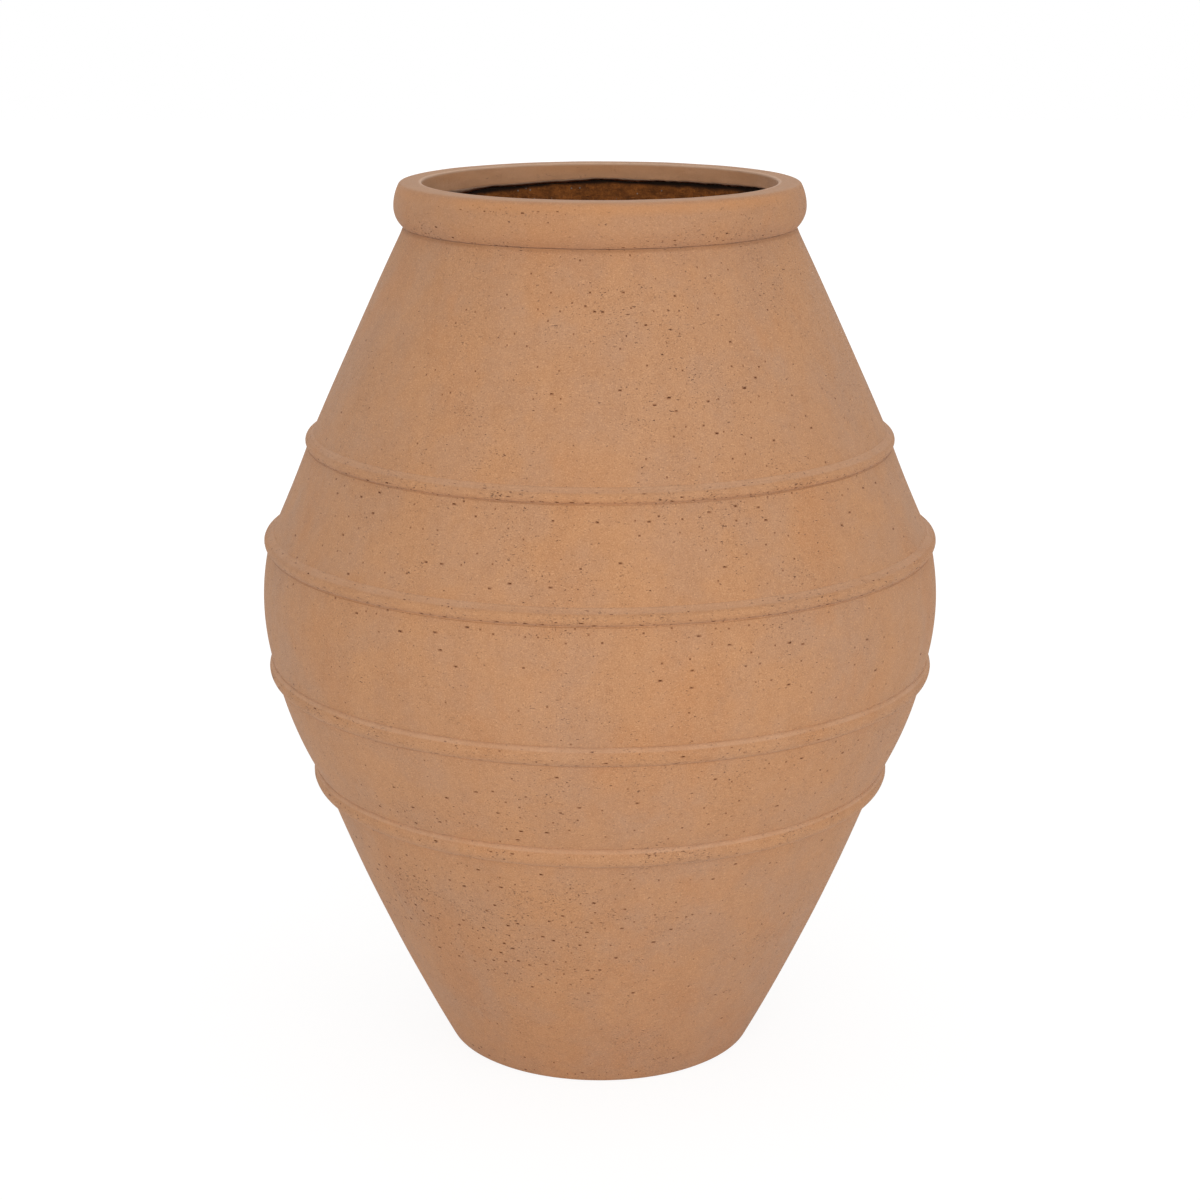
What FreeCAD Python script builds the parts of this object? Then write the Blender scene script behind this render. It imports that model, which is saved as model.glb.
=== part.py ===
import FreeCAD, Part
import math
import os

# Greek pithos as a garden planter, free standing, in millimetres.
# The foot rests on z = 0 with the axis of the jar on +Z.
# The wall is five drums stood one on another, lapped at each joint.
# A half-round strip closes each joint outside, and a fibre layer lines the jar inside.

# Outer radius of the wall at the foot, at its fullest and at the neck
foot_radius = 160.3
belly_radius = 345.7
neck_radius = 195.5

# How far each drum rises, from the foot up
foot_drum_rise = 294.4
lower_belly_rise = 115.2
belly_rise = 133.4
upper_belly_rise = 102.5
shoulder_rise = 210.8

# How far inside the belly's fullest radius the wall stands at each joint of two drums
foot_joint_inset = 54.5
lower_belly_joint_inset = 9.9
upper_belly_joint_inset = 8.7
shoulder_joint_inset = 52.1

# How far a drum's wall bows out from a straight run, and the one that bows in slightly.
# The belly drum bows as far as its fullest radius.
foot_drum_bulge = 5.7
lower_belly_bulge = 5.4
upper_belly_bulge = -1.1
shoulder_bulge = 0.9

# Wall section, and the luting gap left between curved faces that meet
wall_thickness = 10.5
lining_thickness = 2.5
luting_gap = 0.3
lap_height = 9.0
foot_round = 4.0

# Strips over the joints: their width along the wall, and how far they stand out from the joint
foot_band_width = 23.0
foot_band_stand = 8.2
lower_belly_band_width = 20.5
lower_belly_band_stand = 5.9
upper_belly_band_width = 17.0
upper_belly_band_stand = 6.0
shoulder_band_width = 15.4
shoulder_band_stand = 4.6

# Floor: a disc on a ledge inside the foot, with a drain hole
ledge_height = 12.0
ledge_width = 36.0
floor_thickness = 20.0
drain_radius = 14.0
drain_margin = 8.0

# Rim collar, hooked over the wall's lip, its cheek fullest part of the way up
rim_rise = 43.7
rim_stand = 9.8
rim_full_height = 19.7
land_thickness = 6.5
land_width = 18.6
land_edge_round = 5.0
mouth_edge_round = 1.6

# Apron turned down into the mouth, and its raw edge, trimmed by hand.
# Each share is the depth left at an even step round the mouth, starting at +X.
apron_thickness = 3.0
apron_depth = 21.0
apron_trim_shares = (0.70, 0.69, 0.72, 0.77, 0.80, 0.81, 0.75, 0.83, 0.91, 0.93, 0.95, 0.97,
                     0.93, 0.88, 0.84, 0.88, 0.95, 0.99, 0.94, 0.86, 0.80, 0.83, 0.79, 0.73)

# How far a cutting shape runs past what it cuts
overrun = 5.0

foot_joint = foot_drum_rise
lower_belly_joint = foot_joint + lower_belly_rise
upper_belly_joint = lower_belly_joint + belly_rise
shoulder_joint = upper_belly_joint + upper_belly_rise
neck_height = shoulder_joint + shoulder_rise
lip_height = neck_height + rim_rise - land_thickness
jar_height = neck_height + rim_rise
floor_top = ledge_height + floor_thickness
outer_reach = 2 * max(foot_radius, belly_radius, neck_radius)

# The wall's corners from the foot to the neck, and the bow of each run between them
stations = (
    (foot_radius, 0),
    (belly_radius - foot_joint_inset, foot_joint),
    (belly_radius - lower_belly_joint_inset, lower_belly_joint),
    (belly_radius - upper_belly_joint_inset, upper_belly_joint),
    (belly_radius - shoulder_joint_inset, shoulder_joint),
    (neck_radius, neck_height),
)
belly_bulge = (lower_belly_joint_inset + upper_belly_joint_inset) / 2
bulges = (foot_drum_bulge, lower_belly_bulge, belly_bulge, upper_belly_bulge, shoulder_bulge)


def point(radius, z):
    return FreeCAD.Vector(radius, 0, z)


def line(start, end):
    return Part.LineSegment(point(*start), point(*end)).toShape()


def arc(start, middle, end):
    return Part.Arc(point(*start), point(*middle), point(*end)).toShape()


def beside(start, end, place, distance):
    """The point at a distance from place, square to the way from start to end and on its right."""
    run = end[0] - start[0]
    rise = end[1] - start[1]
    chord = math.hypot(run, rise)
    return (place[0] + distance * rise / chord, place[1] - distance * run / chord)


def bow(start, end, bulge):
    """An arc from start to end, bowed by bulge to the right of the way it runs."""
    if bulge == 0:
        return line(start, end)
    halfway = ((start[0] + end[0]) / 2, (start[1] + end[1]) / 2)
    return arc(start, beside(start, end, halfway, bulge), end)


def turn(centre, radius, low_angle, high_angle):
    """An arc about a centre, with its angles counted up from level."""
    angles = (low_angle, (low_angle + high_angle) / 2, high_angle)
    return arc(*[(centre[0] + radius * math.cos(a), centre[1] + radius * math.sin(a)) for a in angles])


def polyline(*corners):
    return [line(start, end) for start, end in zip(corners, corners[1:])]


def section(edges):
    """The flat face inside a closed outline, right of the jar's axis."""
    return Part.Face(Part.Wire(edges))


def area(*corners):
    return section(polyline(*corners, corners[0]))


def level(low, high):
    """The part of the section plane between two heights."""
    return area((0, low), (outer_reach, low), (outer_reach, high), (0, high))


def core(radius):
    """The part of the section plane nearer the axis than a radius."""
    return area((0, -overrun), (radius, -overrun), (radius, jar_height), (0, jar_height))


def turned(flat):
    """The solid that a flat section sweeps about the jar's axis."""
    face = max(flat.Faces, key=lambda each: each.Area)
    solid = face.revolve(FreeCAD.Vector(0, 0, 0), FreeCAD.Vector(0, 0, 1), 360)
    if solid.Volume < 0:
        solid.reverse()
    return solid


def wall_runs(inset):
    """The five bowed runs of the wall's outline, moved in by inset."""
    moved = [(radius - inset, z) for radius, z in stations]
    return [bow(start, end, bulge) for start, end, bulge in zip(moved, moved[1:], bulges)]


def jar_section(inset):
    """Half the jar as if it were solid, up to its lip, with its surface moved in by inset."""
    lip = neck_radius - inset
    top = polyline((lip, neck_height), (lip, lip_height), (0, lip_height), (0, 0), (foot_radius - inset, 0))
    return section(wall_runs(inset) + top)


def layer_section(inset, thickness):
    return jar_section(inset).cut(jar_section(inset + thickness))


def drum(walls, lower, upper):
    """One drum of the wall, halved in thickness at each end so that it laps the next one."""
    step = lap_height / 2
    middle = wall_thickness / 2
    bottom = -overrun if lower is None else lower - step
    top = jar_height if upper is None else upper + step
    piece = walls.common(level(bottom, top))
    if lower is not None:
        piece = piece.cut(jar_section(middle - luting_gap).common(level(lower - step, lower + step)))
    if upper is not None:
        piece = piece.cut(level(upper - step, upper + step).cut(jar_section(middle)))
    return turned(piece)


def drums():
    """The wall cut into its five drums, the lowest with the ledge that carries the floor."""
    hollow = jar_section(wall_thickness).common(level(ledge_height, jar_height))
    walls = jar_section(0).cut(hollow).cut(core(foot_radius - ledge_width))
    names = ("foot_drum", "lower_belly_drum", "belly_drum", "upper_belly_drum", "shoulder_drum")
    joints = (None, foot_joint, lower_belly_joint, upper_belly_joint, shoulder_joint, None)
    made = {name: drum(walls, lower, upper) for name, lower, upper in zip(names, joints, joints[1:])}
    sole = [edge for edge in made["foot_drum"].Edges if is_sole_edge(edge)]
    made["foot_drum"] = made["foot_drum"].makeFillet(foot_round, sole)
    return made


def is_sole_edge(edge):
    """Whether an edge is the jar's outer circle on the ground."""
    box = edge.BoundBox
    return box.ZMax < luting_gap and box.XMax > foot_radius - luting_gap


def band(below, above, width, stand):
    """A half-round strip centred on the joint of two runs of the wall, pressed against both."""
    low = below.valueAt(below.getParameterByLength(below.Length - width / 2))
    joint = above.valueAt(above.FirstParameter)
    high = above.valueAt(above.getParameterByLength(width / 2))
    low, joint, high = [(place.x, place.z) for place in (low, joint, high)]
    heel = polyline(high, (high[0] - wall_thickness, high[1]), (low[0] - wall_thickness, low[1]), low)
    round_face = arc(low, beside(low, high, joint, stand), high)
    return turned(section([round_face] + heel).cut(jar_section(-luting_gap)))


def bands():
    runs = wall_runs(0)
    strips = (
        ("foot_band", foot_band_width, foot_band_stand),
        ("lower_belly_band", lower_belly_band_width, lower_belly_band_stand),
        ("upper_belly_band", upper_belly_band_width, upper_belly_band_stand),
        ("shoulder_band", shoulder_band_width, shoulder_band_stand),
    )
    return {
        name: band(below, above, width, stand)
        for (name, width, stand), below, above in zip(strips, runs, runs[1:])
    }


def trim_edge(radius):
    """The raw lower edge of the apron as a closed curve at one radius."""
    places = []
    for step, share in enumerate(apron_trim_shares):
        angle = 2 * math.pi * step / len(apron_trim_shares)
        depth = jar_height - apron_depth * share
        places.append(FreeCAD.Vector(radius * math.cos(angle), radius * math.sin(angle), depth))
    curve = Part.BSplineCurve()
    curve.interpolate(Points=places, PeriodicFlag=True)
    return curve.toShape()


def trimmed_away(inner_radius, outer_radius):
    """The ring that the shears take off below the apron's raw edge."""
    low = jar_height - apron_depth - overrun
    raw = [trim_edge(inner_radius), trim_edge(outer_radius)]
    flat = [Part.makeCircle(radius, point(0, low)) for radius in (inner_radius, outer_radius)]
    faces = [
        Part.makeRuledSurface(raw[0], raw[1]),
        Part.makeRuledSurface(raw[0], flat[0]),
        Part.makeRuledSurface(raw[1], flat[1]),
        Part.Face([Part.Wire(flat[1]), Part.Wire(flat[0])]),
    ]
    shell = Part.makeShell(faces)
    shell.sewShape()
    solid = Part.makeSolid(shell)
    if solid.Volume < 0:
        solid.reverse()
    return solid


def cheek_outline(seat, cheek, full):
    """The rolled outside of the rim, from the crease under it up to its land.

    It swells in one arc to its full radius, draws in over a second one, and turns over in a third.
    """
    stand = cheek - seat
    under_reach = full - neck_height
    under_radius = (stand ** 2 + under_reach ** 2) / (2 * stand)
    under = turn((cheek - under_radius, full), under_radius, -math.asin(under_reach / under_radius), 0)
    corner = (seat, jar_height - land_edge_round)
    over_reach = corner[1] - full
    over_radius = stand ** 2 + over_reach ** 2 - land_edge_round ** 2
    over_radius /= 2 * (stand - land_edge_round)
    tilt = math.asin(over_reach / (over_radius - land_edge_round))
    over = turn((cheek - over_radius, full), over_radius, 0, tilt)
    edge = turn(corner, land_edge_round, tilt, math.pi / 2)
    return [under, over, edge]


def rim_collar():
    """The rolled rim: cheek outside the lip, flat land over it, apron hanging inside it."""
    seat = neck_radius + luting_gap
    cheek = neck_radius + rim_stand
    full = neck_height + rim_full_height
    mouth = neck_radius - land_width
    apron_foot = jar_height - apron_depth
    apron_back = mouth + apron_thickness
    land_end = (mouth + mouth_edge_round, jar_height)
    edge_low = (mouth, jar_height - mouth_edge_round)
    edges = cheek_outline(seat, cheek, full)
    edges += [line((seat, jar_height), land_end)]
    edges += [turn((land_end[0], edge_low[1]), mouth_edge_round, math.pi / 2, math.pi)]
    edges += polyline(edge_low, (mouth, apron_foot), (apron_back, apron_foot),
                      (apron_back, lip_height), (seat, lip_height), (seat, neck_height))
    clear = (mouth - overrun, (apron_back + neck_radius - wall_thickness) / 2)
    return turned(section(edges)).cut(trimmed_away(*clear))


def floor_disc():
    """The floor, cut to the foot's inner wall and laid on the ledge."""
    plate = jar_section(wall_thickness + luting_gap).common(level(ledge_height, floor_top))
    return turned(plate.cut(core(drain_radius)))


def wall_lining():
    """The fibre layer from the floor up to the underside of the land."""
    layer = layer_section(wall_thickness + luting_gap, lining_thickness)
    return turned(layer.common(level(floor_top + luting_gap, jar_height)))


def floor_lining():
    """The fibre layer over the floor, inside the wall's layer and cut back round the drain hole."""
    low = floor_top + luting_gap
    layer = jar_section(wall_thickness + lining_thickness + 2 * luting_gap)
    layer = layer.common(level(low, low + lining_thickness))
    return turned(layer.cut(core(drain_radius + drain_margin)))


os.makedirs("parts", exist_ok=True)
nodes = {"floor_disc": floor_disc()}
nodes.update(drums())
nodes.update(bands())
nodes["rim_collar"] = rim_collar()
nodes["wall_lining"] = wall_lining()
nodes["floor_lining"] = floor_lining()
for name, shape in nodes.items():
    shape.Solids[0].exportStep(f"parts/{name}.step")
    print(name, len(shape.Solids), shape.isValid(), round(shape.Volume))
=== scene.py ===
import bmesh
import bpy
import math
import random
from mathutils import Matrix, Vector, kdtree, noise


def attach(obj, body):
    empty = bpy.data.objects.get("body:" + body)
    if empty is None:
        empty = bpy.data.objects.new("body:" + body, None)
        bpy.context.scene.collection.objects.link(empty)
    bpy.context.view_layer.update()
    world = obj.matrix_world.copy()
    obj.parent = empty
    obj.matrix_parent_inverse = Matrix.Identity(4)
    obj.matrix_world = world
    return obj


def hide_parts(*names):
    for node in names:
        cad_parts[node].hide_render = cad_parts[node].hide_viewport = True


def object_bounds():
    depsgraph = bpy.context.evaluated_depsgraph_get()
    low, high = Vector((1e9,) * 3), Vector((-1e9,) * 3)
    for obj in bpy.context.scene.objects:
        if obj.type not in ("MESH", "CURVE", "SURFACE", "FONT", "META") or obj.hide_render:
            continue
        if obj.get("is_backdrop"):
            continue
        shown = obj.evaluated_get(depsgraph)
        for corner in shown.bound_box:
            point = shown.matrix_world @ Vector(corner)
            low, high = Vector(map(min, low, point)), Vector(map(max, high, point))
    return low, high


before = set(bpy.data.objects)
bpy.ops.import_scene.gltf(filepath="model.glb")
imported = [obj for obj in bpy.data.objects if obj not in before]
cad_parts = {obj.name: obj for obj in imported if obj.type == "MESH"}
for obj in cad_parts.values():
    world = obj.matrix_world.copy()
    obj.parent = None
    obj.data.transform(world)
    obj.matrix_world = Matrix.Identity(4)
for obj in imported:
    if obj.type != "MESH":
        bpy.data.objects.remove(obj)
cad_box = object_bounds()

# Foot drum, the lowest and tallest piece of the wall, cast in fibre clay and turned on its axis.
# Its skin is rubbed down with a damp pad, which opens small pits where grit and air lay under it.
# A ledge inside its foot carries the floor.
foot_radius = 0.1603
neck_radius = 0.1955
neck_height = 0.8563
lip_height = 0.8935
foot_joint = 0.2944
lower_belly_joint = 0.4096
upper_belly_joint = 0.5430
shoulder_joint = 0.6455
wall_runs = (
    (0, foot_joint, foot_radius, 0.2912, 0.0057),
    (foot_joint, lower_belly_joint, 0.2912, 0.3358, 0.0054),
    (lower_belly_joint, upper_belly_joint, 0.3358, 0.3370, 0.0093),
    (upper_belly_joint, shoulder_joint, 0.3370, 0.2936, -0.0011),
    (shoulder_joint, neck_height, 0.2936, neck_radius, 0.0009),
    (neck_height, lip_height, neck_radius, neck_radius, 0),
)
wall = 0.0105
luting = 0.0003
half_lap = 0.0045
row_height = 0.004
inner_row_height = 0.02
drum_columns = 512
ledge_height = 0.012
ledge_radius = 0.1243
sole_round = 0.004
slices = 16
seam_gap = 0.00002
rub_depth = 0.0004
rub_width = 0.055
pit_lip = 0.0003
least_pit = 0.0002
drawn_out_pit = 0.0017
deepest_pit = 0.003
pit_sizes = ((0, 0.0012), (0.0012, 0.0022), (0.0022, 1))
thickest_crowd = 300

fresh_clay = (0.533, 0.264, 0.123, 1)
rubbed_clay = (0.476, 0.261, 0.150, 1)
ember_clay = (0.520, 0.235, 0.098, 1)
fired_shade = (0.394, 0.182, 0.082, 1)
pale_bloom = (0.680, 0.368, 0.190, 1)
crease_shade = (0.290, 0.122, 0.048, 1)
pit_shade = (0.150, 0.042, 0.010, 1)


def wall_radius(height):
    """The outer radius of the wall at a height, bowed between one joint and the next."""
    for low, high, low_radius, high_radius, bulge in wall_runs:
        if height <= high:
            break
    share = (height - low) / (high - low)
    lean = math.hypot(high_radius - low_radius, high - low) / (high - low)
    return low_radius + (high_radius - low_radius) * share + bulge * lean * 4 * share * (1 - share)


def heights(low, high, step):
    """Even heights from low to high, about a step apart."""
    count = max(1, round((high - low) / step))
    return [low + (high - low) * i / count for i in range(count + 1)]


def arc_points(centre, radius, start, end, count):
    """Points along an arc of the outline, with its angles counted up from level."""
    turns = [math.radians(start + (end - start) * i / count) for i in range(count + 1)]
    return [(centre[0] + radius * math.cos(a), centre[1] + radius * math.sin(a)) for a in turns]


def drum_outline(lower, upper):
    """One drum's section, stepped at both ends so that it laps the drums it stands on and carries."""
    skirt = lower - half_lap
    tongue = upper + half_lap
    outer = [(wall_radius(z), z) for z in heights(skirt, upper - half_lap, row_height)]
    top_step = [(wall_radius(z) - wall / 2, z) for z in (upper - half_lap, tongue)]
    inner = [(wall_radius(z) - wall, z) for z in heights(lower + half_lap, tongue, inner_row_height)]
    foot_step = [(wall_radius(z) - wall / 2 + luting, z) for z in (lower + half_lap, skirt)]
    return outer + top_step + inner[::-1] + foot_step


def spun(outline, columns):
    """The closed ring that an outline of radius and height sweeps round the jar's axis."""
    bm = bmesh.new()
    corners = [bm.verts.new((radius, 0, height)) for radius, height in outline]
    sides = [bm.edges.new(pair) for pair in zip(corners, corners[1:] + corners[:1])]
    slice_turn = math.tau / slices
    bmesh.ops.spin(bm, geom=corners + sides, cent=(0, 0, 0), axis=(0, 0, 1), dvec=(0, 0, 0),
                   angle=slice_turn, steps=columns // slices)
    one_slice = list(bm.verts) + list(bm.edges) + list(bm.faces)
    bmesh.ops.spin(bm, geom=one_slice, cent=(0, 0, 0), axis=(0, 0, 1), dvec=(0, 0, 0),
                   angle=math.tau - slice_turn, steps=slices - 1, use_duplicate=True)
    bmesh.ops.remove_doubles(bm, verts=bm.verts, dist=seam_gap)
    bmesh.ops.recalc_face_normals(bm, faces=bm.faces)
    return bm


def rubbed(bm, reach, size, outside):
    """Wears the skin in by up to reach, in soft hollows about as wide as size."""
    for vert in bm.verts:
        if outside(vert.co):
            hollow = 0.5 + 0.5 * noise.noise(vert.co / size)
            inward = Vector((vert.co.x, vert.co.y, 0)).normalized()
            vert.co -= inward * reach * min(1, max(0, hollow))


def spread(patches, seed):
    """Places of pits, scattered in patches of azimuth, height, half spreads, count and size."""
    rand = random.Random(seed)
    places = []
    for azimuth, height, wide, tall, count, size in patches:
        for _ in range(count):
            turn = math.radians(rand.gauss(azimuth, wide))
            places.append((turn, rand.gauss(height, tall), size * rand.uniform(0.40, 1.0) ** 2.4))
    return places


def crowd(bm, patches, outside):
    """Marks the skin, from 0 to 1, where the patches of pits lie thickest."""
    crowd_layer = bm.verts.layers.float.new("crowd")
    for vert in bm.verts:
        if outside(vert.co):
            azimuth = math.degrees(math.atan2(vert.co.y, vert.co.x))
            total = 0
            for middle, height, wide, tall, count, size in patches:
                sideways = ((azimuth - middle + 180) % 360 - 180) / wide
                upwards = (vert.co.z - height) / tall
                fall = math.exp(-(sideways ** 2 + upwards ** 2) / 2)
                total += count / (wide * tall * thickest_crowd) * fall
            vert[crowd_layer] = min(1, total)


def opened(face):
    """Joins a face of the skin with the one beside it, for a pit that is drawn out sideways."""
    for edge in face.edges:
        if abs(edge.verts[0].co.z - edge.verts[1].co.z) > edge.calc_length() / 2:
            return bmesh.utils.face_join(list(edge.link_faces))
    return face


def pitted(bm, patches, seed, outside):
    """Opens small ragged pits in the skin, in patches, the largest of them drawn out sideways."""
    crowd(bm, patches, outside)
    places = spread(patches, seed)
    rand = random.Random(seed)
    # The pit layer holds how much painted shade each pit takes: 0.8 at its rim and 1.0 at its floor.
    pit_shade_layer = bm.verts.layers.float.new("pit")
    faces = [face for face in bm.faces if outside(face.calc_center_median())]
    tree = kdtree.KDTree(len(faces))
    for index, face in enumerate(faces):
        tree.insert(face.calc_center_median(), index)
    tree.balance()
    taken = set()
    chosen = []
    for turn, height, size in places:
        spot = Vector((math.cos(turn), math.sin(turn), 0)) * wall_radius(height) + Vector((0, 0, height))
        index = tree.find(spot)[1]
        ring = {face for vert in faces[index].verts for face in vert.link_faces}
        if not ring & taken and all(len(face.verts) == 4 for face in ring):
            taken |= ring
            chosen.append((index, size))
    chosen = [(opened(faces[index]) if size > drawn_out_pit else faces[index], size)
              for index, size in chosen]
    bmesh.ops.inset_individual(bm, faces=[face for face, size in chosen], thickness=pit_lip)
    sides = list({edge for face, size in chosen for edge in face.edges})
    bmesh.ops.subdivide_edges(bm, edges=sides, cuts=1)
    bm.normal_update()
    for face, size in chosen:
        centre = face.calc_center_bounds()
        out = face.normal.copy()
        across = Vector((0, 0, 1)).cross(out).normalized()
        along = out.cross(across)
        room_wide = max([least_pit] + [abs((vert.co - centre).dot(across)) for vert in face.verts])
        room_tall = max([least_pit] + [abs((vert.co - centre).dot(along)) for vert in face.verts])
        wide = min(size * rand.uniform(0.40, 0.78), room_wide)
        tall = min(size * rand.uniform(0.14, 0.30), room_tall)
        tilt = rand.uniform(-0.35, 0.2)
        sideways = across * (room_wide - wide) * rand.uniform(-1, 1)
        upwards = along * (room_tall - tall) * rand.uniform(-1, 1)
        shift = sideways + upwards
        for vert in face.verts:
            arm = vert.co - centre
            angle = math.atan2(arm.dot(along) / room_tall, arm.dot(across) / room_wide)
            ragged = rand.uniform(0.5, 1.0)
            level = across * math.cos(angle) * wide
            level = level + along * (math.sin(angle) + math.cos(angle) * tilt) * tall
            vert.co = centre + shift + level * ragged
            vert[pit_shade_layer] = 0.8
        for edge in face.edges:
            edge.smooth = False
    for low, high in pit_sizes:
        deep = [face for face, size in chosen if low <= size < high]
        reach = min(high, deepest_pit)
        if deep:
            bmesh.ops.inset_individual(bm, faces=deep, thickness=reach * 0.08, depth=-reach * 0.36)
        for face in deep:
            for vert in face.verts:
                vert[pit_shade_layer] = 1.0


class Value:
    """A number on its way through a finish, which is added to and multiplied as plain numbers are."""

    def __init__(self, finish, socket):
        self.finish = finish
        self.socket = socket

    def worked(self, operation, first, second):
        """The outcome of one sum, laid down as a Math node."""
        made = self.finish.node("ShaderNodeMath", {"operation": operation}, {0: first, 1: second})
        return Value(self.finish, made.outputs[0])

    def __add__(self, other):
        return self.worked("ADD", self, other)

    def __sub__(self, other):
        return self.worked("SUBTRACT", self, other)

    def __rsub__(self, other):
        return self.worked("SUBTRACT", other, self)

    def __mul__(self, other):
        return self.worked("MULTIPLY", self, other)

    def __lt__(self, other):
        return self.worked("LESS_THAN", self, other)

    def __or__(self, other):
        return self.worked("MAXIMUM", self, other)

    def __abs__(self):
        return self.worked("ABSOLUTE", self, 0)

    __radd__ = __add__
    __rmul__ = __mul__


class Finish:
    """One surface finish: a material whose nodes are laid down one by one."""

    def __init__(self, name):
        self.material = bpy.data.materials.new(name)
        self.material.use_nodes = True
        self.tree = self.material.node_tree
        self.shader = self.tree.nodes["Principled BSDF"]
        self.place = self.node("ShaderNodeTexCoord", {}, {}).outputs["Object"]

    def node(self, kind, settings, inlets):
        """Lays down a node, with its settings first and then the values or links of its sockets."""
        made = self.tree.nodes.new(kind)
        for key, setting in settings.items():
            setattr(made, key, setting)
        for key, inlet in inlets.items():
            self.feed(made.inputs[key], inlet)
        return made

    def feed(self, socket, inlet):
        """Sets a socket to a plain value, or links it to what changes over the surface."""
        if isinstance(inlet, Value):
            inlet = inlet.socket
        if isinstance(inlet, bpy.types.NodeSocket):
            self.tree.links.new(inlet, socket)
        else:
            socket.default_value = inlet

    def stretched(self, x, y, z):
        """The place on the object with its axes scaled, so that a pattern draws out along one."""
        return self.node("ShaderNodeMapping", {}, {"Vector": self.place, "Scale": (x, y, z)}).outputs[0]

    def height(self):
        """How far a point lies above the ground."""
        parts = self.node("ShaderNodeSeparateXYZ", {}, {0: self.place})
        return Value(self, parts.outputs["Z"])

    def distance_out(self):
        """How far a point lies from the jar's axis."""
        flat = self.node("ShaderNodeVectorMath", {"operation": "LENGTH"}, {0: self.stretched(1, 1, 0)})
        return Value(self, flat.outputs["Value"])

    def noise(self, scale, detail, rough, vector=None):
        """A soft pattern without a repeat, mostly between 0.3 and 0.7."""
        inlets = {"Vector": vector or self.place, "Scale": scale, "Detail": detail, "Roughness": rough}
        return Value(self, self.node("ShaderNodeTexNoise", {}, inlets).outputs[0])

    def cells(self, scale, vector=None):
        """Scattered grains: how far a point is from the nearest, and a number of that grain's own."""
        made = self.node("ShaderNodeTexVoronoi", {}, {"Vector": vector or self.place, "Scale": scale})
        own = self.node("ShaderNodeSeparateColor", {}, {0: made.outputs["Color"]})
        return Value(self, made.outputs["Distance"]), Value(self, own.outputs[0])

    def between(self, value, low, high):
        """A mask that rises smoothly from 0 at low to 1 at high."""
        inlets = {"Value": value, "From Min": low, "From Max": high}
        made = self.node("ShaderNodeMapRange", {"interpolation_type": "SMOOTHSTEP"}, inlets)
        return Value(self, made.outputs[0])

    def tint(self, colour, other, mask):
        """A colour turned toward another by a mask."""
        made = self.node("ShaderNodeMix", {"data_type": "RGBA"}, {0: mask, 6: colour, 7: other})
        return made.outputs[2]

    def attribute(self, name):
        """A number that the mesh carries on its corners or faces."""
        return Value(self, self.node("ShaderNodeAttribute", {"attribute_name": name}, {}).outputs["Fac"])

    def relief(self, depth):
        """A bump whose height is given in metres."""
        bump = self.node("ShaderNodeBump", {}, {"Height": depth, "Strength": 1.0, "Distance": 1.0})
        self.feed(self.shader.inputs["Normal"], bump.outputs[0])


def clay(name, creases=(), specks=0.5, warmth=0.0, strokes=(1, 1, 0.3)):
    """Hand-rubbed fibre clay: clouded, faintly streaked, sandy and specked, with painted shade in its
    specks, pits and creases.
    """
    finish = Finish(name)
    broad = finish.between(finish.noise(4.5, 3, 0.6), 0.38, 0.64)
    clouds = finish.between(finish.noise(19, 4, 0.58), 0.38, 0.64)
    streaks = finish.between(finish.noise(34, 4, 0.62, finish.stretched(*strokes)), 0.38, 0.68)
    mottle = finish.noise(110, 4, 0.7)
    sand = finish.noise(820, 3, 0.8)
    colour = finish.tint(fresh_clay, rubbed_clay, (broad * 0.4 + clouds * 0.6) * (1 - warmth))
    embers = finish.between(finish.noise(10, 4, 0.6, finish.stretched(1, 1, 0.7)), 0.52, 0.70)
    colour = finish.tint(colour, ember_clay, embers * 0.60)
    colour = finish.tint(colour, fired_shade, streaks * 0.18 + finish.between(mottle, 0.42, 0.72) * 0.24)
    colour = finish.tint(colour, pale_bloom, finish.between(sand, 0.50, 0.62) * 0.34)
    colour = finish.tint(colour, fired_shade, (1 - finish.between(sand, 0.36, 0.48)) * 0.40)
    grit = finish.noise(430, 3, 0.7, finish.stretched(1, 1, 1.9))
    colour = finish.tint(colour, pale_bloom, finish.between(grit, 0.56, 0.66) * 0.60)
    flock = finish.between(finish.noise(15, 4, 0.68), 0.46, 0.66) * specks
    flock = flock + finish.attribute("crowd") * (finish.noise(45, 3, 0.6) * 2.6 - 0.65)
    pores = finish.noise(270, 3, 0.55, finish.stretched(1, 1, 2.6))
    pores = finish.between(pores + flock * 0.034, 0.696, 0.736)
    pricks = finish.noise(560, 2, 0.5, finish.stretched(1, 1, 2.0))
    pricks = finish.between(pricks + flock * 0.04, 0.694, 0.752)
    # Pores and pricks are painted with pit shade, as dark specks for pits too small to cut in the mesh.
    colour = finish.tint(colour, pit_shade, pores * 0.85)
    colour = finish.tint(colour, pit_shade, pricks * 0.50)
    wander = finish.noise(30, 3, 0.6) - 0.5
    patchy = finish.between(finish.noise(11, 3, 0.6), 0.30, 0.62) * 0.6 + 0.4
    # Painted shade darkens the clay in a narrow, patchy strip along each crease height.
    for crease, reach, strength in creases:
        away = abs(finish.height() - crease + wander * 0.0012)
        colour = finish.tint(colour, crease_shade, (1 - finish.between(away, 0.0, reach)) * patchy * strength)
    # Painted shade fills the pits cut in the mesh.
    pit = finish.between(finish.attribute("pit"), 0.25, 0.95)
    colour = finish.tint(colour, pit_shade, pit)
    finish.feed(finish.shader.inputs["Base Color"], colour)
    finish.feed(finish.shader.inputs["Roughness"], 0.80 + 0.12 * mottle)
    finish.shader.inputs["Specular IOR Level"].default_value = 0.3
    finish.shader.inputs["Sheen Weight"].default_value = 0.10
    finish.shader.inputs["Sheen Roughness"].default_value = 0.45
    finish.relief(mottle * 0.0008 + sand * 0.0004 - pores * 0.0010 - pricks * 0.0005)
    return finish


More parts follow.
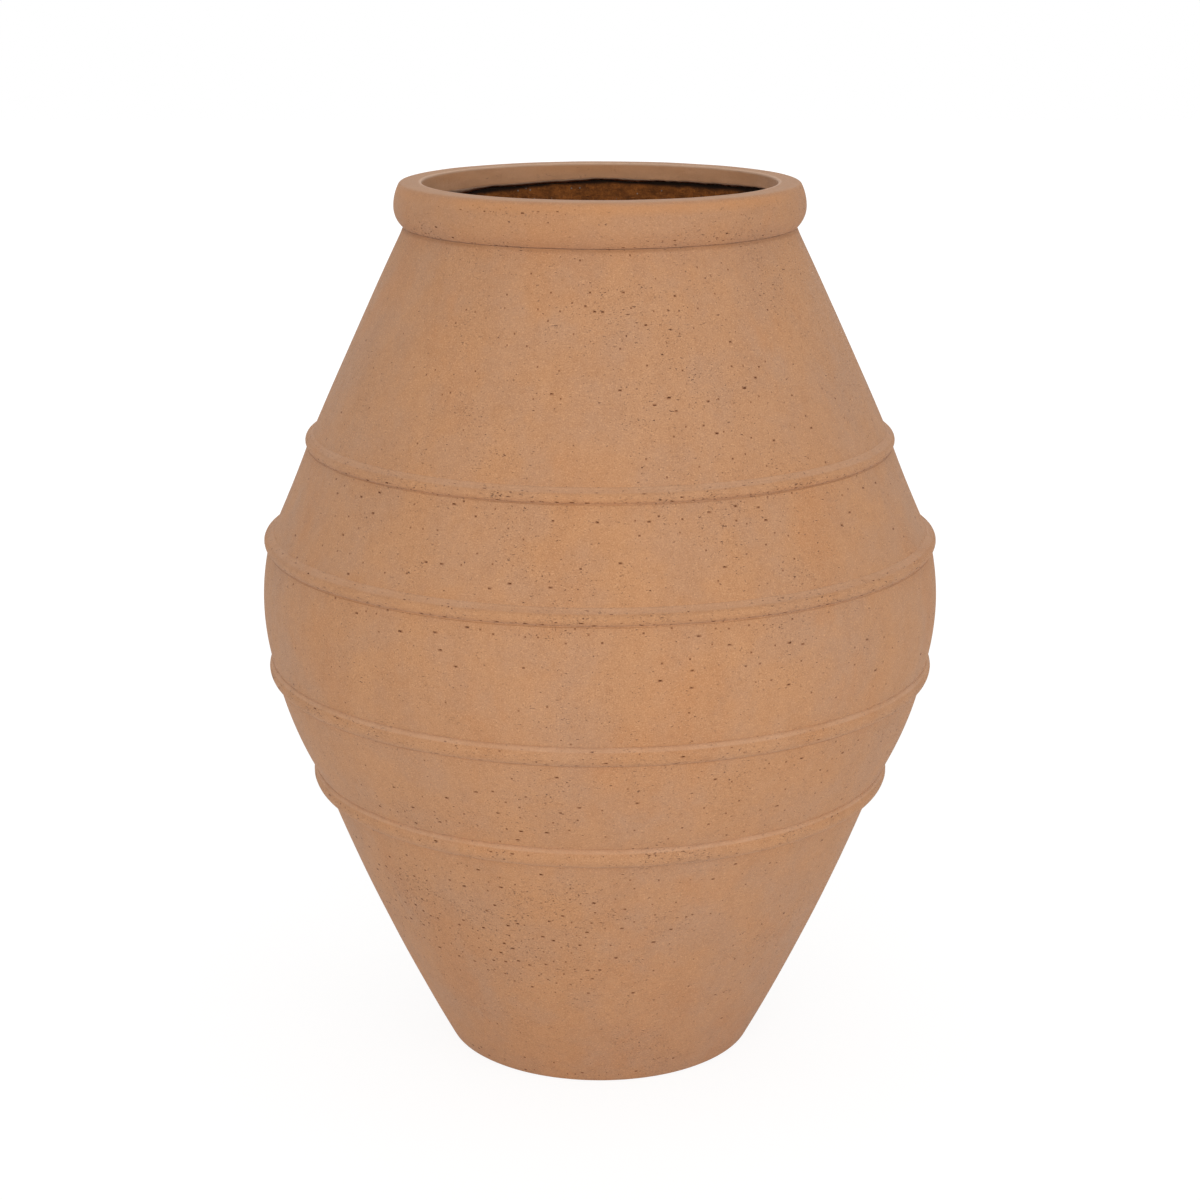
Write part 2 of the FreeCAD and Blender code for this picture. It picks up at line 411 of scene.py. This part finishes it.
def finished(name, node, bm, finish):
    """Makes the mesh an object that stands for its CAD node."""
    mesh = bpy.data.meshes.new(name)
    for face in bm.faces:
        face.smooth = True
    bm.to_mesh(mesh)
    bm.free()
    mesh.materials.append(finish.material)
    piece = bpy.data.objects.new(name, mesh)
    bpy.context.scene.collection.objects.link(piece)
    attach(piece, "root")
    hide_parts(node)


def on_skin(point):
    """Whether a point lies on the outside of the wall, not on its laps or its inner face."""
    return math.hypot(point.x, point.y) > wall_radius(min(max(point.z, 0), lip_height)) - wall / 4


lean = math.atan((wall_radius(sole_round) - wall_radius(0)) / sole_round)
sole_centre = (foot_radius + sole_round * (math.tan(lean) - 1 / math.cos(lean)), sole_round)
sole = arc_points(sole_centre, sole_round, -90, -math.degrees(lean), 6)
foot_outer = [(wall_radius(z), z) for z in heights(sole[-1][1], foot_joint - half_lap, row_height)]
foot_outline = [(ledge_radius, 0)] + sole + foot_outer[1:]
foot_outline += [(wall_radius(z) - wall / 2, z) for z in (foot_joint - half_lap, foot_joint + half_lap)]
foot_inner = heights(ledge_height, foot_joint + half_lap, inner_row_height)
foot_outline += [(wall_radius(z) - wall, z) for z in foot_inner[::-1]]
foot_outline += [(ledge_radius, ledge_height)]
foot_patches = (
    (-121, 0.190, 13, 0.026, 210, 0.0032), (-138, 0.212, 9, 0.020, 80, 0.0028),
    (-103, 0.156, 8, 0.018, 60, 0.0030), (-117, 0.252, 16, 0.010, 50, 0.0032),
    (-92, 0.205, 10, 0.030, 30, 0.0028), (-146, 0.160, 9, 0.026, 36, 0.0026),
    (-60, 0.190, 20, 0.045, 30, 0.0024), (-45, 0.100, 12, 0.030, 16, 0.0024),
    (10, 0.18, 14, 0.035, 70, 0.0028), (75, 0.12, 12, 0.030, 80, 0.0030), (150, 0.21, 12, 0.030, 70, 0.0028),
    (60, 0.15, 90, 0.070, 70, 0.0024),
    (-90, 0.150, 60, 0.080, 26, 0.0022), (-115, 0.010, 26, 0.008, 26, 0.0034),
    (90, 0.012, 60, 0.008, 40, 0.0034),
)
foot_drum = spun(foot_outline, drum_columns)
rubbed(foot_drum, rub_depth, rub_width, on_skin)
pitted(foot_drum, foot_patches, 11, on_skin)
# The foot takes painted shade along its band crease and where it stands on the ground.
foot_clay = clay("rubbed_foot_clay", creases=((0.2828, 0.0012, 0.3), (0.0, 0.004, 0.2)), specks=1.0)
finished("foot_drum_clay", "foot_drum", foot_drum, foot_clay)

# Lower belly drum, a short flaring ring set on the foot drum.
# The drums are cast apart, lapped by half their thickness, and luted with wet clay.
lower_belly_patches = (
    (-90, 0.35, 55, 0.035, 22, 0.0024), (-118, 0.328, 14, 0.012, 50, 0.0030),
    (-103, 0.352, 7, 0.012, 26, 0.0028), (-60, 0.33, 16, 0.016, 22, 0.0023),
    (-52, 0.385, 12, 0.010, 24, 0.0026),
    (0, 0.36, 14, 0.016, 36, 0.0024), (95, 0.34, 18, 0.014, 50, 0.0026), (90, 0.35, 80, 0.030, 60, 0.0022),
)
lower_belly_drum = spun(drum_outline(foot_joint, lower_belly_joint), drum_columns)
rubbed(lower_belly_drum, rub_depth, rub_width, on_skin)
pitted(lower_belly_drum, lower_belly_patches, 21, on_skin)
lower_belly_creases = ((0.3046, 0.0012, 0.15), (0.3992, 0.0012, 0.3))
lower_belly_clay = clay("rubbed_lower_belly_clay", creases=lower_belly_creases, specks=0.8)
finished("lower_belly_drum_clay", "lower_belly_drum", lower_belly_drum, lower_belly_clay)

# Belly drum, the widest ring, bowed like a barrel.
# It is cast in the same fibre clay, and its skirt laps over the tongue of the drum below.
belly_patches = (
    (-90, 0.475, 55, 0.035, 24, 0.0026), (-118, 0.525, 20, 0.006, 24, 0.0025),
    (-70, 0.527, 16, 0.005, 18, 0.0025), (-60, 0.48, 14, 0.025, 28, 0.0024),
    (12, 0.45, 16, 0.020, 40, 0.0024), (110, 0.50, 20, 0.016, 60, 0.0026),
    (90, 0.47, 80, 0.035, 80, 0.0022),
)
belly_drum = spun(drum_outline(lower_belly_joint, upper_belly_joint), drum_columns)
rubbed(belly_drum, rub_depth, rub_width, on_skin)
pitted(belly_drum, belly_patches, 31, on_skin)
belly_clay = clay("rubbed_belly_clay", creases=((0.4200, 0.0012, 0.15), (0.5338, 0.0009, 0.6)), specks=0.7)
finished("belly_drum_clay", "belly_drum", belly_drum, belly_clay)

# Upper belly drum, a ring of the same fibre clay that turns the wall inward again.
# It is luted on the belly drum and carries the shoulder.
upper_belly_patches = (
    (-90, 0.595, 55, 0.025, 20, 0.0028), (-112, 0.628, 24, 0.008, 26, 0.0025),
    (-65, 0.622, 14, 0.012, 32, 0.0022), (-128, 0.59, 12, 0.020, 24, 0.0024),
    (-8, 0.61, 16, 0.014, 36, 0.0024), (80, 0.59, 18, 0.016, 54, 0.0026),
    (90, 0.60, 80, 0.028, 70, 0.0022),
)
upper_belly_drum = spun(drum_outline(upper_belly_joint, shoulder_joint), drum_columns)
rubbed(upper_belly_drum, rub_depth, rub_width, on_skin)
pitted(upper_belly_drum, upper_belly_patches, 41, on_skin)
upper_belly_clay = clay("rubbed_upper_belly_clay", creases=((0.6374, 0.0009, 0.6),), specks=0.8)
finished("upper_belly_drum_clay", "upper_belly_drum", upper_belly_drum, upper_belly_clay)

# Shoulder drum, a long cone that draws in to the neck and ends in a plumb lip.
# The rim collar hooks over that lip.
shoulder_patches = (
    (-68, 0.745, 10, 0.035, 42, 0.0025), (-78, 0.815, 12, 0.015, 20, 0.0023),
    (-60, 0.670, 12, 0.014, 18, 0.0025), (-118, 0.72, 20, 0.050, 26, 0.0020),
    (-100, 0.78, 12, 0.030, 16, 0.0020), (5, 0.72, 14, 0.030, 50, 0.0026),
    (120, 0.76, 16, 0.030, 70, 0.0026), (90, 0.74, 80, 0.055, 80, 0.0020),
)
shoulder_outline = [(wall_radius(z), z) for z in heights(shoulder_joint - half_lap, neck_height, row_height)]
shoulder_outline += [(neck_radius, lip_height), (neck_radius - wall, lip_height)]
shoulder_inner = heights(shoulder_joint + half_lap, neck_height, inner_row_height)
shoulder_outline += [(wall_radius(z) - wall, z) for z in shoulder_inner[::-1]]
shoulder_outline += [(wall_radius(z) - wall / 2 + luting, z)
                     for z in (shoulder_joint + half_lap, shoulder_joint - half_lap)]
shoulder_drum = spun(shoulder_outline, drum_columns)
rubbed(shoulder_drum, rub_depth, rub_width,
       lambda point: point.z < neck_height - row_height and on_skin(point))
pitted(shoulder_drum, shoulder_patches, 51, on_skin)
# The shoulder takes painted shade in the crease under the rim collar.
shoulder_clay = clay("rubbed_shoulder_clay", creases=((0.8550, 0.0034, 0.5),), specks=0.95)
finished("shoulder_drum_clay", "shoulder_drum", shoulder_drum, shoulder_clay)

# Bands: strips of clay pressed over the four joints while damp, then rounded with a wet thumb.
# The two upper ones are smoothed into the wall above them, and end in a crisp crease below.
sunk = 0.0012
band_rows = 10
fullness = 0.86
edge_rise = math.sqrt(1 - fullness)
# A painted highlight colour for the bands' upper slopes; the last value of each band is its strength.
ridge_highlight_colour = (0.650, 0.400, 0.262, 1)
bands = (
    ("foot_band", foot_joint, 0.0230, 0.0082, 0.45, 0.50, 0.30, 0.45),
    ("lower_belly_band", lower_belly_joint, 0.0205, 0.0059, 0.45, 0.50, 0.30, 0.40),
    ("upper_belly_band", upper_belly_joint, 0.0170, 0.0060, 0.90, 0.42, 0.60, 0.34),
    ("shoulder_band", shoulder_joint, 0.0154, 0.0046, 0.90, 0.42, 0.60, 0.34),
)


def band_patches(joint, width):
    """Pits thick along the lower half of a band, where the thumb dragged grit out of it."""
    lower = joint - width * 0.30
    return (
        (-96, lower, 24, 0.0022, 110, 0.0036), (-60, lower, 16, 0.0020, 40, 0.0032),
        (-140, lower, 14, 0.0020, 36, 0.0032), (-90, joint + width * 0.1, 50, 0.0040, 26, 0.0026),
        (10, lower, 40, 0.0025, 60, 0.0030),
        (90, lower, 50, 0.0025, 110, 0.0032), (170, joint, 40, 0.0040, 60, 0.0028),
    )


def band_outline(joint, width, stand, soft, crest):
    """A half-round section over a joint, its upper side drawn out soft and its back sunk in the wall."""
    slopes = [wall_radius(joint + width / 2) - wall_radius(joint - width / 2), width]
    length = math.hypot(*slopes)
    rise = slopes[1] / length
    run = slopes[0] / length
    low = joint - width / 2 * rise
    high = joint + width / 2 * rise
    face = []
    for i in range(band_rows + 1):
        share = i / band_rows
        off_crest = (share - crest) / (crest if share < crest else 1 - crest)
        round_rise = (math.sqrt(1 - off_crest ** 2 * fullness) - edge_rise) / (1 - edge_rise)
        soft_rise = 0.5 + 0.5 * math.cos(math.pi * off_crest)
        lift = round_rise if share < crest else round_rise * (1 - soft) + soft_rise * soft
        height = low + (high - low) * share
        reach = stand * lift
        face.append((wall_radius(height) + reach * rise, height - reach * run))
    back = [(wall_radius(z) - sunk, z) for z in (high, joint, low)]
    return face + back


for number, (node, joint, width, stand, soft, crest, crease, highlight_strength) in enumerate(bands):
    band = spun(band_outline(joint, width, stand, soft, crest), drum_columns)
    pitted(band, band_patches(joint, width), 61 + number,
           lambda point: math.hypot(point.x, point.y) > wall_radius(point.z) + sunk)
    lower_edge = min(vert.co.z for vert in band.verts)
    # The band takes painted shade along its lower crease, as strong as its crease value.
    band_creases = ((lower_edge, 0.0008, crease),)
    band_clay = clay("rubbed_" + node + "_clay", creases=band_creases, specks=1.35, warmth=0.35)
    upper_edge = max(vert.co.z for vert in band.verts)
    # A painted highlight lightens the band's upper slope in a narrow, patchy strip below its top edge.
    ridge_highlight = band_clay.between(band_clay.height(), upper_edge - 0.0052, upper_edge - 0.0036)
    ridge_highlight = ridge_highlight * (band_clay.noise(24, 3, 0.6) * 1.6 - 0.1) * highlight_strength
    band_colour = band_clay.shader.inputs["Base Color"].links[0].from_socket
    band_clay.feed(band_clay.shader.inputs["Base Color"], band_clay.tint(band_colour, ridge_highlight_colour, ridge_highlight))
    finished(node + "_clay", node, band, band_clay)

# Rim collar, pressed in a mould and hooked over the lip: a rolled cheek outside, a flat land on top,
# and an apron turned down into the mouth, whose raw lower edge is trimmed by hand with shears.
jar_height = 0.900
seat_radius = neck_radius + luting
cheek_radius = 0.2053
full_height = neck_height + 0.0197
land_round = 0.005
mouth_radius = 0.1769
mouth_round = 0.0016
apron_thickness = 0.003
apron_depth = 0.021
rim_columns = 576
torn_depth = 0.0018
torn_side = 125
trim_shares = (0.70, 0.69, 0.72, 0.77, 0.80, 0.81, 0.75, 0.83, 0.91, 0.93, 0.95, 0.97,
               0.93, 0.88, 0.84, 0.88, 0.95, 0.99, 0.94, 0.86, 0.80, 0.83, 0.79, 0.73)
pale_land = (0.540, 0.310, 0.185, 1)
worn_edge_and_highlight = (0.680, 0.450, 0.310, 1)
pale_apron_clay = (0.700, 0.375, 0.205, 1)
glowing_clay = (0.600, 0.272, 0.105, 1)


def trim_share(turn):
    """How much of the apron's depth is left at an angle round the mouth."""
    place = turn / math.tau % 1 * len(trim_shares)
    first = int(place)
    part = place - first
    a, b, c, d = [trim_shares[(first + i) % len(trim_shares)] for i in (-1, 0, 1, 2)]
    share = b + part * (c - a) / 2 + part ** 2 * (a - 2.5 * b + 2 * c - d / 2)
    return share + part ** 3 * (d - a + 3 * (b - c)) / 2


def torn_reach(turn):
    """How far the apron's back hangs below its front, where the shears tore it on the left."""
    return torn_depth * (1 + math.cos(turn - math.radians(torn_side)))


cheek_stand = cheek_radius - seat_radius
under_reach = full_height - neck_height
under_radius = (cheek_stand ** 2 + under_reach ** 2) / (2 * cheek_stand)
under_turn = math.degrees(math.asin(under_reach / under_radius))
over_reach = jar_height - land_round - full_height
over_radius = (cheek_stand ** 2 + over_reach ** 2 - land_round ** 2) / (2 * (cheek_stand - land_round))
over_turn = math.degrees(math.asin(over_reach / (over_radius - land_round)))
mouth_corner = (mouth_radius + mouth_round, jar_height - mouth_round)
land_end = (seat_radius, jar_height - land_round)
rim_outline = arc_points((cheek_radius - under_radius, full_height), under_radius, -under_turn, 0, 12)
rim_outline += arc_points((cheek_radius - over_radius, full_height), over_radius, 0, over_turn, 9)[1:]
rim_outline += arc_points(land_end, land_round, over_turn, 90, 6)[1:]
land_steps = 6
land_width = seat_radius - mouth_corner[0]
rim_outline += [(seat_radius - land_width * i / land_steps, jar_height) for i in range(1, land_steps)]
rim_outline += arc_points(mouth_corner, mouth_round, 90, 180, 4)
apron_foot = jar_height - apron_depth
rim_outline += [(mouth_radius, z) for z in heights(apron_foot, mouth_corner[1], 0.002)[-2::-1]]
rim_outline += [(mouth_radius + apron_thickness, z) for z in (apron_foot, lip_height)]
rim_outline += [(seat_radius, lip_height)]
rim_collar = spun(rim_outline, rim_columns)
cut_layer = rim_collar.faces.layers.float.new("cut")
for face in rim_collar.faces:
    if all(abs(vert.co.z - apron_foot) < luting for vert in face.verts):
        face[cut_layer] = 1
for vert in rim_collar.verts:
    out = math.hypot(vert.co.x, vert.co.y)
    turn = math.atan2(vert.co.y, vert.co.x)
    if out < mouth_radius + apron_thickness + luting and vert.co.z < mouth_corner[1] - luting / 2:
        spot = Vector((math.cos(turn), math.sin(turn), 0)) * mouth_radius
        ragged = 0.0005 * noise.noise(spot * 260) + 0.0005 * noise.noise(spot * 70)
        depth = apron_depth * trim_share(turn) - mouth_round + ragged
        torn = 0
        if out > mouth_radius + luting:
            torn = torn_reach(turn) * (1 + noise.noise(spot * 24))
        hung = (mouth_corner[1] - vert.co.z) / (mouth_corner[1] - apron_foot)
        if out < mouth_radius + luting or hung > 1 - luting:
            vert.co.z = mouth_corner[1] - hung * (depth + torn)
    elif vert.co.z < full_height and out > seat_radius + luting:
        near_foot = 1 - (vert.co.z - neck_height) / under_reach
        vert.co.z += 0.0007 * near_foot * noise.noise(Vector((math.cos(turn), math.sin(turn), 0)) * 7)
    elif vert.co.z > full_height:
        vert.co.z -= 0.0004 * (0.5 + 0.5 * noise.noise(vert.co * 22))
rim_patches = (
    (-148, 0.867, 4.5, 0.0035, 64, 0.0060), (-146, 0.8595, 4, 0.001, 20, 0.0060),
    (-121, 0.8590, 2.5, 0.0008, 8, 0.0060), (-117, 0.8885, 6, 0.0016, 30, 0.0042),
    (-100, 0.8880, 3, 0.0016, 8, 0.0036), (-82, 0.8600, 2, 0.001, 7, 0.0050),
    (-66, 0.866, 8, 0.003, 34, 0.0030), (-45, 0.864, 7, 0.004, 24, 0.0030),
    (-90, 0.876, 60, 0.008, 16, 0.0018), (90, 0.876, 70, 0.008, 80, 0.0024),
    (0, 0.872, 30, 0.008, 36, 0.0024), (170, 0.862, 20, 0.003, 24, 0.0030),
)


def on_cheek(point):
    """Whether a point lies on the rim's rolled cheek, not on its land or its apron."""
    return point.z < jar_height - land_round and math.hypot(point.x, point.y) > seat_radius + luting


pitted(rim_collar, rim_patches, 81, on_cheek)
# The rim takes painted shade in its crease at the neck.
rim_clay = clay("rubbed_rim_clay", creases=((0.8563, 0.0012, 0.6),), specks=0.75, strokes=(0.35, 0.35, 5))
rim_colour = rim_clay.shader.inputs["Base Color"].links[0].from_socket
rim_colour = rim_clay.tint(rim_colour, fired_shade, 0.20)
# The land on top is tinted paler.
on_land = rim_clay.between(rim_clay.height(), jar_height - 0.0016, jar_height - 0.0004)
rim_colour = rim_clay.tint(rim_colour, pale_land, on_land * 0.55)
# The apron's inner face is tinted paler than the cheek.
on_apron = 1 - rim_clay.between(rim_clay.distance_out(), mouth_radius + 0.0002, mouth_radius + 0.0010)
rim_colour = rim_clay.tint(rim_colour, pale_apron_clay, on_apron * 0.7)
smear = rim_clay.between(rim_clay.noise(13, 4, 0.65, rim_clay.stretched(1, 1, 4)), 0.38, 0.62)
rim_colour = rim_clay.tint(rim_colour, fired_shade, on_apron * smear * 0.28)
# The mouth's rounded inner edge is painted pale, partly as wear and partly as a painted highlight.
lip_edge = 1 - rim_clay.between(rim_clay.distance_out(), mouth_radius + 0.0012, mouth_radius + 0.0042)
above = rim_clay.between(rim_clay.height(), jar_height - 0.0030, jar_height - 0.0012)
under_land = rim_clay.between(rim_clay.height(), jar_height - 0.0150, jar_height - 0.0060)
under_land = under_land * (1 - rim_clay.between(rim_clay.height(), jar_height - 0.0045, jar_height - 0.0015))
blotch = rim_clay.between(rim_clay.noise(8, 3, 0.6), 0.36, 0.56)
rim_colour = rim_clay.tint(rim_colour, glowing_clay, under_land * blotch * 0.40)
rim_colour = rim_clay.tint(rim_colour, worn_edge_and_highlight, lip_edge * above * 0.8)
# The shears' cut faces at the apron's foot take the same pale colour, as a raw edge.
rim_colour = rim_clay.tint(rim_colour, worn_edge_and_highlight, rim_clay.attribute("cut") * 0.7)
rim_clay.feed(rim_clay.shader.inputs["Base Color"], rim_colour)
finished("rim_collar_clay", "rim_collar", rim_collar, rim_clay)

# Wall lining: chopped fibre and slurry, daubed over the inside of the wall once the drums are luted.
# It dries dark brown and rough, with strands lying every way.
lining = 0.0025
floor_top = 0.032
lining_columns = 320
lining_row_height = 0.006
top_row_height = 0.0015
fibre_lip = 0.862
damp_fibre = (0.150, 0.048, 0.011, 1)
dry_fibre = (0.520, 0.172, 0.034, 1)
ash_fleck = (0.420, 0.400, 0.360, 1)
apron_shadow_colour = (0.018, 0.008, 0.004, 1)


def fibre(name):
    """Dried slurry: lumpy and dark, with pale strands across it, ash-grey flecks, and a painted shadow under
    the apron's edge.
    """
    finish = Finish(name)
    lumps = finish.noise(80, 6, 0.75, finish.stretched(1, 1, 1.6))
    strands = finish.noise(260, 5, 0.8, finish.stretched(1, 1, 0.4))
    cross = finish.noise(330, 5, 0.8, finish.stretched(0.35, 0.35, 1))
    colour = finish.tint(damp_fibre, dry_fibre, finish.between(lumps, 0.30, 0.70) * 0.75)
    colour = finish.tint(colour, dry_fibre, finish.between(strands, 0.52, 0.64) * 0.65)
    colour = finish.tint(colour, damp_fibre, finish.between(cross, 0.50, 0.62) * 0.75)
    far, own = finish.cells(230)
    fleck = (1 - finish.between(far, 0.12, 0.30)) * (own < 0.10)
    colour = finish.tint(colour, ash_fleck, fleck * 0.6)
    # Painted shadow under the apron's trimmed edge, read from the mesh attribute.
    colour = finish.tint(colour, apron_shadow_colour, finish.attribute("apron_shadow"))
    finish.feed(finish.shader.inputs["Base Color"], colour)
    finish.feed(finish.shader.inputs["Roughness"], 0.86 + 0.1 * lumps)
    finish.shader.inputs["Specular IOR Level"].default_value = 0.25
    finish.relief(lumps * 0.0030 + strands * 0.0012 + cross * 0.0012 + fleck * 0.0004)
    return finish


lining_levels = heights(floor_top + luting, fibre_lip, lining_row_height)
lining_levels += heights(fibre_lip, lip_height - luting, top_row_height)[1:]
lining_back = wall + luting
lining_outline = [(wall_radius(z) - lining_back - lining, z) for z in lining_levels]
lining_back_levels = heights(lining_levels[0], lining_levels[-1], inner_row_height)
lining_outline += [(wall_radius(z) - lining_back, z) for z in lining_back_levels[::-1]]
wall_lining = spun(lining_outline, lining_columns)
apron_shadow_layer = wall_lining.verts.layers.float.new("apron_shadow")
# A painted shadow darkens the lining just below the apron's trimmed edge, where the apron shades it.
for vert in wall_lining.verts:
    turn = math.atan2(vert.co.y, vert.co.x)
    below = jar_height - apron_depth * trim_share(turn) - torn_reach(turn) - vert.co.z
    edge = 0.0074 + 0.0034 * math.cos(2 * turn) + 0.0020 * noise.noise(vert.co * 60)
    vert[apron_shadow_layer] = min(1, max(0, 1.9 * (1 - below / edge)))
    out = math.hypot(vert.co.x, vert.co.y)
    if out < wall_radius(vert.co.z) - lining_back - lining / 2:
        lump = 0.0007 * noise.noise(vert.co * 45) + 0.0004 * noise.noise(vert.co * 120)
        vert.co -= Vector((vert.co.x, vert.co.y, 0)).normalized() * lump
finished("wall_lining_fibre", "wall_lining", wall_lining, fibre("daubed_wall_fibre"))

# Floor disc, cast flat in the same fibre clay and cut to the foot's inner wall.
# It lies on the ledge in the foot drum, with a drain hole bored through it.
floor_steps = 24
floor_edge = 0.0012
drain_radius = 0.014
floor_low = ledge_height + luting
floor_columns = 256
floor_low_edge = wall_radius(floor_low) - wall - luting
floor_high_edge = wall_radius(floor_top) - wall - luting
floor_outline = [(drain_radius + floor_edge, floor_low), (floor_low_edge, floor_low)]
floor_outline += [(floor_high_edge, floor_top), (drain_radius + floor_edge, floor_top)]
floor_outline += [(drain_radius, floor_top - floor_edge), (drain_radius, floor_low + floor_edge)]
floor_disc = spun(floor_outline, floor_columns)
rings = [edge for edge in floor_disc.edges if abs(edge.verts[0].co.z - edge.verts[1].co.z) < luting
         and edge.calc_length() > floor_high_edge / 2]
bmesh.ops.subdivide_edges(floor_disc, edges=rings, cuts=floor_steps, use_grid_fill=True)
floor_disc.verts.layers.float.new("pit")
finished("floor_disc_clay", "floor_disc", floor_disc, clay("cast_floor_clay", specks=0.9))

# Floor lining: the same fibre slurry as on the wall, spread over the floor disc.
# It is cut back round the drain hole, so that the hole stays open.
drain_clear = 0.022
floor_lining_low = floor_top + luting
floor_lining_high = floor_lining_low + lining
floor_lining_edge = wall_radius(floor_lining_low) - wall - lining - 2 * luting
floor_lining_outline = [(drain_clear, floor_lining_low), (floor_lining_edge, floor_lining_low)]
floor_lining_width = drain_clear - floor_lining_edge
floor_lining_outline += [(floor_lining_edge + floor_lining_width * i / floor_steps, floor_lining_high)
                         for i in range(floor_steps + 1)]
floor_lining = spun(floor_lining_outline, floor_columns)
for vert in floor_lining.verts:
    if vert.co.z > floor_lining_low + lining / 2:
        vert.co.z += 0.0006 * noise.noise(vert.co * 60) + 0.0004 * noise.noise(vert.co * 150) - 0.0006
finished("floor_lining_fibre", "floor_lining", floor_lining, fibre("daubed_floor_fibre"))

# Studio: a white floor, broad soft lamps, and a camera a little above the rim, looking slightly down.
floor_half = 12
floor_white = (0.90, 0.90, 0.90, 1)
card_strength = 1.1
white = (1, 1, 1, 1)
sky_strength = 0.63
eye_distance = 2.5439
eye_height = 1.1605
eye_tilt = 74.765
lens_length = 76.2
film_width = 36
bpy.ops.mesh.primitive_grid_add(x_subdivisions=2, y_subdivisions=2, size=2 * floor_half)
studio_floor = bpy.context.object
studio_floor.name = "studio_floor"
sweep = Finish("white_floor")
white_card = sweep.node("ShaderNodeEmission", {}, {"Strength": card_strength})
seen = sweep.node("ShaderNodeLightPath", {}, {})
direct = Value(sweep, seen.outputs["Is Camera Ray"]) + Value(sweep, seen.outputs["Is Glossy Ray"])
direct = direct + Value(sweep, seen.outputs["Is Transmission Ray"])
clear = sweep.between(sweep.distance_out(), 0.5, 2.5) * 0.20 + 0.80
blend = sweep.node("ShaderNodeMixShader", {},
                   {0: direct * clear, 1: sweep.shader.outputs[0], 2: white_card.outputs[0]})
sweep.shader.inputs["Base Color"].default_value = floor_white
sweep.shader.inputs["Roughness"].default_value = 0.9
sweep.feed(sweep.tree.nodes["Material Output"].inputs[0], blend.outputs[0])
studio_floor.data.materials.append(sweep.material)
studio_floor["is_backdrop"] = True


class Air(Finish):
    """The studio's air: the world's nodes, laid down as those of a finish are."""

    def __init__(self, name):
        self.world = bpy.data.worlds.new(name)
        self.world.use_nodes = True
        self.tree = self.world.node_tree


air = Air("studio_air")
bpy.context.scene.world = air.world
sky = air.tree.nodes["Background"]
air.feed(sky.inputs["Color"], white)
air.feed(sky.inputs["Strength"], sky_strength)
backdrop = air.node("ShaderNodeBackground", {}, {"Color": white})
path = air.node("ShaderNodeLightPath", {}, {})
shown = Value(air, path.outputs["Is Camera Ray"]) | Value(air, path.outputs["Is Glossy Ray"])
shown = shown | Value(air, path.outputs["Is Transmission Ray"])
choice = air.node("ShaderNodeMixShader", {}, {0: shown, 1: sky.outputs[0], 2: backdrop.outputs[0]})
air.feed(air.tree.nodes["World Output"].inputs[0], choice.outputs[0])

lamps = (
    ("front_lamp", (-0.6, -3.7, 1.3), 2.4, 42),
    ("side_lamp", (2.7, -2.6, 1.2), 2.4, 20),
    ("top_lamp", (0.2, 0.6, 3.6), 2.6, 10),
)
aim = Vector((0, 0, 0.5))
for name, spot, size, power in lamps:
    lamp = bpy.data.lights.new(name, "AREA")
    lamp.size = size
    lamp.energy = power
    holder = bpy.data.objects.new(name, lamp)
    holder.location = spot
    holder.rotation_euler = (aim - Vector(spot)).to_track_quat("-Z", "Y").to_euler()
    bpy.context.scene.collection.objects.link(holder)

lens = bpy.data.cameras.new("studio_camera")
lens.lens = lens_length
lens.sensor_width = film_width
camera = bpy.data.objects.new("studio_camera", lens)
camera.location = (0, -eye_distance, eye_height)
camera.rotation_euler = (math.radians(eye_tilt), 0, 0)
bpy.context.scene.collection.objects.link(camera)
bpy.context.scene.camera = camera
bpy.context.scene.view_settings.view_transform = "Standard"

size = {"cad": [list(corner) for corner in cad_box], "scene": [list(corner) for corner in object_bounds()]}
